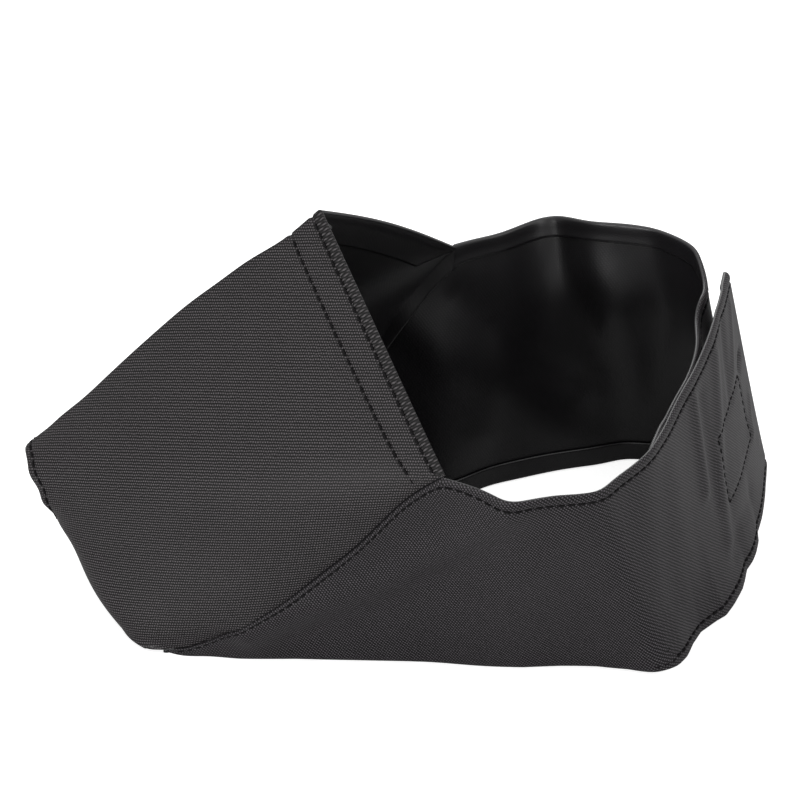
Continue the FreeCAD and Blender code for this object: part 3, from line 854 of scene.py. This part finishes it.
def face_patches(face):
    """Patches of one half: its wall with the nose hem, the forehead hem, and the allowances of its four seams."""
    count = face.forehead_count
    columns = face.grid.shape[1]
    length = face.run[-1]
    on_forehead = np.where(np.arange(columns) < count, 1.0, 0.0)
    rear_back, nose_back = steps(0, 10.8, 0.3), steps(3.3, 0, 0.3)
    nose_rows, allowance_rows = steps(NOSE_HEM, 0.6, 0.6), steps(0, ALLOWANCE, 0.7)[1:]
    depth_rows, back_rows, cloth_rows = [], [], []

    def add(back, depth, cloth):
        back_rows.append(np.broadcast_to(back, (columns,)))
        depth_rows.append(np.broadcast_to(depth, (columns,)))
        cloth_rows.append(np.broadcast_to(cloth, (columns,)))

    for a in nose_rows:
        add(length - FOLD - a, 2 * FOLD, length + math.pi * FOLD - FOLD + a)
    for angle in ARC[::-1]:
        add(length - FOLD + FOLD * math.sin(angle), FOLD * (1 - math.cos(angle)), length - FOLD + FOLD * angle)
    for a in nose_back[::-1][1:]:
        swell = 0.05 * math.exp(-((a + FOLD - 0.8) / 0.6) ** 2)
        add(length - FOLD - a, groove(a + FOLD - NOSE_STITCH) - swell, length - FOLD - a)
    first = length - FOLD - nose_back[0]
    last = rear_back[-1] + FOLD
    for t in np.linspace(0, 1, 92)[1:-1]:
        back = first + (last - first) * t
        add(back, 0.0, back)
    for a in rear_back[::-1]:
        back = a + FOLD * on_forehead
        grooves = sum(groove(a + FOLD - row) for row in STITCH_ROWS)
        add(back, grooves * on_forehead, back)
    places = [face.rows_at(b, d) for b, d in zip(back_rows, depth_rows)]
    flats = [face.flat_at(c) for c in cloth_rows]
    lining = np.zeros(len(places) - 1, int)
    lining[:len(nose_rows) + len(ARC) // 2] = 1
    finish = np.repeat(lining[:, None] + 1, columns - 1, axis=1)
    # The strip nearest the forehead edge takes the edge cloth, which carries painted shade.
    finish[-int(round(STRIP / 0.3)):, :count - 1] = 0
    wall = (np.stack(places), np.stack(flats), finish)
    hem_places, hem_flats = [wall[0][-1, :count]], [wall[1][-1, :count]]
    for angle in ARC[1:]:
        hem_places.append(face.rows_at(FOLD - FOLD * math.sin(angle), FOLD * (1 - math.cos(angle)))[:count])
        hem_flats.append(face.flat_at(FOLD - FOLD * angle)[:count])
    for a in steps(0, FACE_HEM, 0.7)[1:]:
        hem_places.append(face.rows_at(FOLD + a, 2 * FOLD - pressed(a))[:count])
        hem_flats.append(face.flat_at(FOLD - FOLD * math.pi - a)[:count])
    hem = (np.stack(hem_places), np.stack(hem_flats), 2 * (np.arange(len(hem_places) - 1) >= len(ARC) // 2))
    band = left_band if face.side < 0 else right_band
    seam_columns = slice(count - 1, count - 1 + len(face.seam_s))
    s = face.seam_s
    under = [wall[0][-1, seam_columns]]
    under_flats = [wall[1][-1, seam_columns]]
    for a in allowance_rows:
        under.append(band.place(s, band.high(s) - a * smallness(band.high(s)), seam_depth(band, s)))
        under_flats.append(face.flat_at(-a)[seam_columns])
    allowance = (np.stack(under), np.stack(under_flats), np.full(len(under) - 1, 2))
    chin_columns = slice(count - 1 + len(face.seam_s) - 1, columns)
    chin = [wall[0][-1, chin_columns]]
    chin_flats = [wall[1][-1, chin_columns]]
    for a in allowance_rows:
        chin.append(chin[0] + (a, 0, 0))
        chin_flats.append(face.flat_at(-a)[chin_columns])
    first = len(nose_rows) + len(ARC)

    def fin(column, inner, start, full):
        """An allowance turned in along the ridge or the jaw. Behind the nose hem it grows to its full width."""
        seam, flat = wall[0][first:, column], wall[1][first:, column]
        inwards = read(seam[:, 0], face.grid[:, column, 0], -face.out[:, column])
        aside = unit(flat - wall[1][first:, inner])
        deep = np.maximum(ease(seam[:, 0], start, full), 0.1)[:, None]
        spots, cloth = [seam], [flat]
        for a in allowance_rows:
            spots.append(seam + inwards * a * deep + (0, 0.06 * face.side, 0))
            cloth.append(flat + aside * a * deep)
        return np.stack(spots), np.stack(cloth)

    ridge = [part[:, :-3] for part in fin(0, 3, NOSE_TOP[0] + 3, NOSE_TOP[0] + 9)]
    jaw = [part[::-1] for part in fin(-1, -4, NOSE_LOW[0] + 1, NOSE_LOW[0] + 5)]
    fins = [(*part, np.full(len(part[0]) - 1, 2)) for part in (ridge, jaw)]
    return [wall, hem, allowance, (np.stack(chin), np.stack(chin_flats), np.full(len(chin) - 1, 2)), *fins]


left_cover, right_cover = face_patches(face_l), face_patches(face_r)


def strip_cloth(name, face):
    """The cloth of the narrow strip along the forehead edge, with its ribs square to the edge. Its threads are
    painted darker than the face's: painted shade along the edge.
    """
    edge = face.flats[-1, face.forehead_count - 1] - face.flats[-1, 0]
    square = math.degrees(math.atan2(edge[0], -edge[1]))
    return cloth_finish(name, SHADE, (0.088, 0.081, 0.084), 0.5, 0.06, -square, bead_pitch=2.4)


cover_left = sew_sheet("cover_left", left_cover, [strip_cloth("Left_edge_oxford_painted_shade", face_l), face_cloth, coated])
cover_right = sew_sheet("cover_right", right_cover,
                        [strip_cloth("Right_edge_oxford_painted_shade", face_r), face_cloth, coated], flip=True)

# %% [markdown]
# Under the chin a throat panel joins the two bands. It lies on the table, its front edge is sewn to the face
# cover's chin edge with both allowances inside, its sides lie over the bands' rolled edges, and its rear edge is
# hollowed and hemmed. It is drawn from its front edge to its rear edge.
# %% Throat panel
THROAT_REAR, THROAT_HOLLOW, THROAT_LOW, THROAT_HALF = 19.0, 5.0, 0.1, 30.2
THROAT_ALLOWANCE, THROAT_FOLD = 5.0, 0.4
SIDE_GAP, OVER_ROLL, LESS_AT_HEM = 0.6, 1.9, 1.2
LIFT_OVER, ROLL_REACH = 0.55, 9.5


def throat_side(band, x, hem_start):
    """The panel's reach to one side at places x, and how much of the band's lower edge is rolled there."""
    near = band.s < band.corner + 14
    small, share = smallness(band.tall), ease(band.s, hem_start, hem_start + 9)
    reach = abs(band.wall[-1, :, 1]) - SIDE_GAP - small * (OVER_ROLL - LESS_AT_HEM * share)
    roll = small * (1 - share)
    return (np.minimum(np.interp(x, band.wall[-1, near, 0], reach[near]), THROAT_HALF),
            np.interp(x, band.wall[-1, near, 0], roll[near]))


def throat_patch():
    """The throat panel as one patch: allowance, front fold, panel, rear fold and hem."""
    chin, length = smooth_line([(x, y) for x, y in CHIN] + [(x, -y) for x, y in CHIN[-2::-1]])
    across = np.linspace(-1, 1, 90)
    edge = chin(np.linspace(0, length, 400))[::-1]
    half = throat_side(left_band, SEAM[0][0], LEFT_HEM)[0]
    front = np.interp(across * half, edge[:, 1], edge[:, 0]) + 0.4
    rear = THROAT_REAR - THROAT_HOLLOW * (1 - across**2)
    rows, cloth = [], [0.0]

    def sides(x):
        return np.where(across < 0, throat_side(left_band, x, LEFT_HEM), throat_side(right_band, x, RIGHT_HEM))

    def add(x, z):
        rows.append(np.stack((x, across * sides(x)[0], np.broadcast_to(z, x.shape)), axis=-1))
        if len(rows) > 1:
            cloth.append(cloth[-1] + float(np.linalg.norm(rows[-1] - rows[-2], axis=1).mean()))

    r = THROAT_FOLD
    for a in steps(THROAT_ALLOWANCE, 0, 0.6):
        add(front + r + a, THROAT_LOW + 2 * r)
    for angle in ARC[1:]:
        add(front + r - r * math.sin(angle), THROAT_LOW + r + r * math.cos(angle))
    for t in np.linspace(0, 1, 110)[1:]:
        x = front + r + (rear - r - front - r) * t
        reach, roll = sides(x)
        y, inset = across * reach, (1 - abs(across)) * reach
        over = LIFT_OVER * (1 - ease(inset, ROLL_REACH * roll - 2.5, ROLL_REACH * roll)) * ease(roll, 0.05, 0.2)
        free = ease(t, 0.02, 0.15) * ease(inset, 6, 16) * ease(1 - t, 0.0, 0.12)
        wave = 0.35 + 0.35 * np.sin(x / 7.5 + y / 19) + 0.25 * np.sin(y / 6.3 - x / 23 + 1)
        add(x, THROAT_LOW + over + np.maximum(wave, 0) * free)
    flat_z = rows[-1][:, 2] - THROAT_LOW
    for angle in ARC[1:]:
        add(rear - r + r * math.sin(angle), THROAT_LOW + flat_z + r - r * math.cos(angle))
    for a in steps(0, THROAT_HEM, 0.7)[1:]:
        add(rear - r - a, THROAT_LOW + flat_z + 2 * r + 0.02 * a)
    places = np.stack(rows)
    flat = np.stack((places[..., 1], np.broadcast_to(np.array(cloth)[:, None], places.shape[:2])), axis=-1)
    lining = np.zeros(len(rows) - 1, int)
    lining[-(len(steps(0, THROAT_HEM, 0.7)) - 1) - 4:] = 1
    return places, flat, lining


throat = throat_patch()
throat_sheet = sew_sheet("throat", [throat], [shaded_band_cloth, coated])

# %% [markdown]
# Everything is sewn with black thread. One stitch is modelled, a short bar of thread that dips into the cloth at
# both ends, and it is copied along every row. A copy takes its place, its direction along the row, and the
# direction out of the cloth.
# %% One stitch
def thread_finish():
    """Black thread with a fine diagonal twist."""
    material, tree, shader = new_material("Black_thread")
    place = add_node(tree, "TexCoord")
    twist = add_node(tree, "TexWave", {"Scale": 1400.0, "Vector": place.outputs["Object"]},
                     bands_direction="DIAGONAL")
    ramp = add_node(tree, "Mix", {0: twist.outputs["Fac"], 6: (0.002, 0.002, 0.002, 1),
                                  7: (0.012, 0.011, 0.012, 1)}, data_type="RGBA")
    bump = add_node(tree, "Bump", {"Distance": 0.03 * MM, "Height": twist.outputs["Fac"]})
    fill(tree, shader, {"Roughness": 0.8, "Specular IOR Level": 0.06, "Base Color": ramp.outputs[2],
                        "Normal": bump.outputs[0]})
    return material


thread = thread_finish()
STITCH_PITCH = 2.2


def pick_faces(obj, wanted):
    """In edit mode, selects only the faces of obj that wanted accepts."""
    bpy.ops.mesh.select_mode(type="FACE")
    bpy.ops.mesh.select_all(action="DESELECT")
    bpy.ops.object.mode_set(mode="OBJECT")
    for face in obj.data.polygons:
        face.select = wanted(face)
    bpy.ops.object.mode_set(mode="EDIT")


def finish_model(obj, material):
    """Leaves edit mode, shades the model smooth and gives it its material."""
    bpy.ops.object.mode_set(mode="OBJECT")
    bpy.ops.object.shade_smooth()
    obj.data.materials.append(material)
    return obj


def model_stitch():
    """A stitch 1.6 mm long, along X, with Z out of the cloth."""
    deselect()
    bpy.ops.mesh.primitive_cylinder_add(vertices=6, radius=0.28 * MM, depth=0.9 * MM, rotation=(0, math.pi / 2, 0))
    obj = bpy.context.active_object
    bpy.ops.object.transform_apply(rotation=True)
    bpy.ops.object.mode_set(mode="EDIT")
    for end in (-1, 1):
        pick_faces(obj, lambda face: face.normal.x * end > 0.9)
        bpy.ops.mesh.extrude_region_move(TRANSFORM_OT_translate={"value": (0.35 * MM * end, 0, -0.16 * MM)})
        bpy.ops.transform.resize(value=(1, 0.6, 0.6), center_override=(0.8 * MM * end, 0, -0.16 * MM))
    return finish_model(obj, thread)


def place_copies(name, model, spots):
    """Copies of model joined into one piece. A spot is a place in mm, a direction along and a direction out."""
    deselect()
    copies = []
    for place, along, out in spots:
        out = unit(out - along * (out @ along))
        side = np.cross(out, along)
        matrix = np.eye(4)
        matrix[:3, 0], matrix[:3, 1], matrix[:3, 2], matrix[:3, 3] = along, side, out, place * MM
        copy = link(name, model.data.copy())
        copy.data.transform(Matrix(matrix.tolist()))
        copies.append(copy)
    for copy in copies:
        copy.select_set(True)
    bpy.context.view_layer.objects.active = copies[0]
    bpy.ops.object.join()
    joined = bpy.context.active_object
    joined.name = joined.data.name = name
    deselect()
    return joined


def along_row(places, outs, pitch=STITCH_PITCH):
    """Spots at an even pitch along a row of places."""
    length = np.r_[0, np.cumsum(np.linalg.norm(np.diff(places, axis=0), axis=1))]
    count = max(1, int(length[-1] / pitch))
    middles = (np.arange(count) + 0.5) * length[-1] / count
    ahead = unit(read(middles + 0.4, length, places) - read(middles - 0.4, length, places))
    return list(zip(read(middles, length, places), ahead, unit(read(middles, length, outs))))


# %% [markdown]
# The rows of stitches: two rows inside the forehead edge, one round the nose opening, one along each band's
# edge, and the rectangles that hold the two tapes. Each row lies in the groove that its sheet was given.
# %% Rows of stitches
stitch = model_stitch()


def face_row(face, back, columns):
    """Spots on the face cover at one distance back from its outline."""
    back = np.broadcast_to(back, (face.grid.shape[1],))
    places = face.rows_at(back, 0.12)[columns]
    index = [np.argmin(abs(face.run[-1, i] - back[i] - face.run[:, i])) for i in range(face.grid.shape[1])]
    outs = face.out[index, np.arange(face.grid.shape[1])][columns]
    return along_row(places, outs)


def band_row(band, s, h, depth=0.12):
    """Spots on a band at places along it and heights on it. A depth below 0 is above its outer face."""
    return along_row(band.place(s, h, depth), band.outward(s, h))


def hem_rows(band, hem_start):
    """Spots of the stitches under a band's upper edge and above its lower edge."""
    s = steps(3.0, band.end - 3.0, 0.7)
    tall = band.high(s)
    upper = band_row(band, s, tall - hem_stitch(band, s))
    s = steps(hem_start + 3, band.end - 3.0, 0.7)
    return upper, band_row(band, s, np.full(len(s), 2.6))


def rectangle_row(band, marks, depth):
    """Spots along the sides of a rectangle on a band."""
    spots = []
    for (s0, h0), (s1, h1) in zip(marks[:-1], marks[1:]):
        t = np.linspace(0, 1, 40)
        spots += band_row(band, s0 + (s1 - s0) * t, h0 + (h1 - h0) * t, depth)
    return spots


def forehead_row(face, back):
    """Spots of a row beside the forehead edge, which runs straight on until it meets the seam to the cheek."""
    count = face.forehead_count
    start, edge = face.flats[-1, 0], unit(face.flats[-1, count - 1] - face.flats[-1, 0])
    inward = unit(face.flats[0, 0] - start - edge * (edge @ (face.flats[0, 0] - start)))
    backs, last = np.full(face.grid.shape[1], float(back)), count
    straight = (face.flat_at(back)[count - 1] - start) @ inward
    for i in range(count, face.grid.shape[1]):
        far = (face.flats[:, i] - start) @ inward
        if far[-1] > straight - 0.4:
            break
        backs[i] = face.run[-1, i] - np.interp(-straight, -far, face.run[:, i])
        last = i
    return face_row(face, backs, slice(2, last))


stitches = []
for label, face in (("left", face_l), ("right", face_r)):
    rows = []
    for back in STITCH_ROWS:
        rows += forehead_row(face, back)
    rows += face_row(face, face.run[-1] - NOSE_STITCH, slice(None))
    stitches.append(place_copies(f"cover_stitches_{label}", stitch, rows))
for label, band, start in (("left", left_band, LEFT_HEM), ("right", right_band, RIGHT_HEM)):
    upper, lower = hem_rows(band, start)
    stitches.append(place_copies(f"band_stitches_{label}", stitch, upper + lower))
LOOP_S = (right_band.end - 58.0, right_band.end - 12.0)
hook_stitches = place_copies("hook_tape_stitches", stitch, rectangle_row(left_band, PATCH_RECTANGLE, 0.05))
print("stitch copies", sum(len(o.data.polygons) for o in stitches) // len(stitch.data.polygons))

# %% [markdown]
# The band closes with hook and loop tape. Both tapes are woven strips sewn on flat: the hook tape inside the
# left strap, the loop tape outside the right strap. One hook is modelled, a stem that is spun over into a
# crook, and one loop, an arch of fine thread. They are copied over their strips in rows.
# %% Tapes
TAPE_WEB = 0.35
tape_cloth = cloth_finish("Tape_web", (0.004, 0.004, 0.004), (0.035, 0.034, 0.034), 0.6, 0.04, 0.0, row_pitch=0.5)
hook_nylon = cloth_finish("Hook_nylon", (0.02, 0.02, 0.02), (0.035, 0.035, 0.035), 0.35, 0.01, specular=0.3)
loop_nylon = cloth_finish("Loop_nylon", (0.02, 0.02, 0.02), (0.05, 0.049, 0.05), 0.6, 0.01, sheen=0.3)


def tape_patch(band, s_range, h_range, depth):
    """A flat strip of tape along a band at a depth under its outer face."""
    s, h = np.meshgrid(steps(*s_range, 0.7), steps(*h_range, 0.7))
    places = band.place(s, h, np.full(s.shape, float(depth)))
    return places, np.stack((s - s_range[0], h - h_range[0]), axis=-1)


def model_hook():
    """A hook 0.55 mm high, with Z along its stem and its crook over +X."""
    deselect()
    bpy.ops.mesh.primitive_circle_add(vertices=5, radius=0.09 * MM, fill_type="NGON")
    obj = bpy.context.active_object
    bpy.ops.object.mode_set(mode="EDIT")
    bpy.ops.mesh.select_all(action="SELECT")
    bpy.ops.mesh.extrude_region_move(TRANSFORM_OT_translate={"value": (0, 0, 0.3 * MM)})
    bpy.ops.mesh.spin(steps=4, angle=math.radians(150), center=(0.18 * MM, 0, 0.3 * MM), axis=(0, 1, 0))
    return finish_model(obj, hook_nylon)


def model_loop():
    """An arch of thread 0.4 mm high over X."""
    deselect()
    bpy.ops.mesh.primitive_circle_add(vertices=3, radius=0.07 * MM, fill_type="NGON", location=(-0.32 * MM, 0, 0))
    obj = bpy.context.active_object
    bpy.ops.object.transform_apply(location=True)
    bpy.ops.object.mode_set(mode="EDIT")
    bpy.ops.mesh.select_all(action="SELECT")
    bpy.ops.mesh.spin(steps=6, angle=math.radians(180), center=(0, 0, 0), axis=(0, 1, 0))
    return finish_model(obj, loop_nylon)


def cover_strip(name, model, band, s_range, h_range, depth, pitch, outside, scatter):
    """Copies of model in rows over a strip of tape, with their backs turned and places scattered a little."""
    random = np.random.default_rng(7)
    spots = []
    for j, h in enumerate(steps(h_range[0] + 1, h_range[1] - 1, pitch)):
        for s in steps(s_range[0] + 1, s_range[1] - 1, pitch):
            s_at = s + (j % 2) * pitch / 2 + random.uniform(-scatter, scatter) * pitch
            h_at = h + random.uniform(-scatter, scatter) * pitch
            out = band.outward(s_at, h_at) * (1 if outside else -1)
            along = unit(band.place(s_at + 0.5, h_at) - band.place(s_at - 0.5, h_at)) * (-1) ** j
            turn = random.uniform(-1, 1) * scatter * 3
            side = np.cross(out, along)
            spots.append((band.place(s_at, h_at, depth), along * math.cos(turn) + side * math.sin(turn), out))
    return place_copies(name, model, spots)


TAPE_H = (PATCH_H[0] - 0.6, PATCH_H[1] + 0.6)
HOOK_DEPTH, LOOP_DEPTH = CLOTH + 0.05 + TAPE_WEB, -0.05 - TAPE_WEB
hook_web_patch = tape_patch(left_band, (PATCH_S[0] - 0.8, PATCH_S[1] + 0.8), TAPE_H, HOOK_DEPTH)
hook_web = sew_sheet("hook_tape", [hook_web_patch], [tape_cloth], flip=True, thick=-TAPE_WEB)
loop_web_patch = tape_patch(right_band, LOOP_S, TAPE_H, LOOP_DEPTH)
loop_web = sew_sheet("loop_tape", [loop_web_patch], [tape_cloth], thick=TAPE_WEB)
hook, loop = model_hook(), model_loop()
hooks = cover_strip("tape_hooks", hook, left_band, PATCH_S, PATCH_H, HOOK_DEPTH, 1.5, False, 0.05)
loops = cover_strip("tape_loops", loop, right_band, LOOP_S, PATCH_H, LOOP_DEPTH, 1.15, True, 0.3)
loop_rows = rectangle_row(right_band, rectangle((LOOP_S[0] + 1, LOOP_S[1] - 1), PATCH_H), -0.1 - TAPE_WEB)
loop_stitches = place_copies("loop_tape_stitches", stitch, loop_rows)
for model in (stitch, hook, loop):
    bpy.data.objects.remove(model)
print("hooks", len(hooks.data.polygons), "loops", len(loops.data.polygons), "faces")


def bend(piece, joint, body, direction):
    """Bakes piece's placement into its mesh. The fold line's joint and direction are looked up, but nothing bends."""
    at, way = np.array(joints[joint]["pos_m"]), unit(np.array(direction, float))
    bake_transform(piece)


for piece in (cover_left, cover_right, throat_sheet, stitches[0], stitches[1]):
    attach(piece, "cover")
for piece in (band_left, stitches[2]):
    bend(piece, "left_strap_fold", "left_strap", (0.5, 0.86, 0))
for piece in (band_right, stitches[3]):
    bend(piece, "right_strap_fold", "right_strap", (1, 0, 0))
for piece in (hook_web, hooks, hook_stitches):
    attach(piece, "left_strap")
for piece in (loop_web, loops, loop_stitches):
    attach(piece, "right_strap")

for label, cover, band in (("left", cover_left, band_left), ("right", cover_right, band_right)):
    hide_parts(*[f"{part}_{label}" for part in ("face", "nose_hem", "forehead_hem", "cheek_seam")])
    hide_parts(*[f"{part}_{label}" for part in (
        "cheek", "cheek_top_hem", "cheek_bottom_hem", "strap", "strap_top_hem", "strap_bottom_hem", "strap_end_hem")])
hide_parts("ridge_seam")
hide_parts("chin_seam")
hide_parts("throat_panel", "throat_seam", "throat_hem")
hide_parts("hook_patch")
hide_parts("loop_patch")
for piece, patches, held, pieces, rests in (
    (cover_left, left_cover, "stretched", [stitches[0]], ["band_left"]),
    (cover_right, right_cover, "stretched", [stitches[1]], ["band_right"]),
    (band_left, left_patches, "folded", [stitches[2], hook_stitches], []),
    (band_right, right_patches, "folded", [stitches[3], loop_stitches], []),
    (throat_sheet, [throat], "laid", [], ["band_left", "band_right"]),
    (hook_web, [hook_web_patch], "laid", [hooks], ["band_left"]),
    (loop_web, [loop_web_patch], "laid", [loops], ["band_right"]),
):
    flat, area = cut_size(*patches)
    print(piece.name, "cut", [round(v * 1000, 1) for v in flat], "mm, area", round(area * 1e4, 1), "cm2")

# %% [markdown]
# The mask stands on a white table in a white studio. A broad soft light hangs above, and three weaker ones stand
# low at the front left, at the right and behind, where they rake over the weave. The table keeps a faint shadow.
# %% Light and floor
def soft_light(name, place, size, power):
    """A square area light, in metres, aimed at the mask."""
    data = bpy.data.lights.new(name, "AREA")
    data.size = size
    data.energy = power
    lamp = bpy.data.objects.new(name, data)
    bpy.context.scene.collection.objects.link(lamp)
    lamp.location = place
    lamp.rotation_euler = (Vector((0, 0, 0.03)) - Vector(place)).to_track_quat("-Z", "Y").to_euler()


soft_light("Overhead", (0.0, 0.1, 1.2), 1.2, 8.0)
soft_light("Front", (-0.5, -0.95, 0.22), 0.4, 9.2)
soft_light("Right", (1.0, -0.3, 0.5), 0.8, 3.8)
soft_light("Behind", (-0.3, 1.1, 0.5), 0.6, 2.5)

WORLD_LIGHT = 0.4
world = bpy.data.worlds.new("Studio")
bpy.context.scene.world = world
world.use_nodes = True
tree = world.node_tree
rays = add_node(tree, "LightPath").outputs
seen = maths(tree, "MAXIMUM", rays["Is Glossy Ray"], rays["Is Transmission Ray"])
seen = maths(tree, "MAXIMUM", rays["Is Camera Ray"], seen)
strength = maths(tree, "ADD", maths(tree, "MULTIPLY", seen, 1.0 - WORLD_LIGHT), WORLD_LIGHT)
fill(tree, tree.nodes["Background"], {"Color": (1, 1, 1, 1), "Strength": strength})

deselect()
bpy.ops.mesh.primitive_plane_add(size=6.0)
floor = bpy.context.active_object
floor.name = "Floor"
paper, tree, shader = new_material("Floor_paper")
glow = maths(tree, "MULTIPLY", add_node(tree, "LightPath").outputs["Is Camera Ray"], 0.75)
fill(tree, shader, {"Base Color": (0.7, 0.7, 0.7, 1), "Roughness": 0.9, "Specular IOR Level": 0.0,
                    "Emission Color": (1, 1, 1, 1), "Emission Strength": glow})
floor.data.materials.append(paper)
bpy.context.scene.view_settings.view_transform = "Standard"
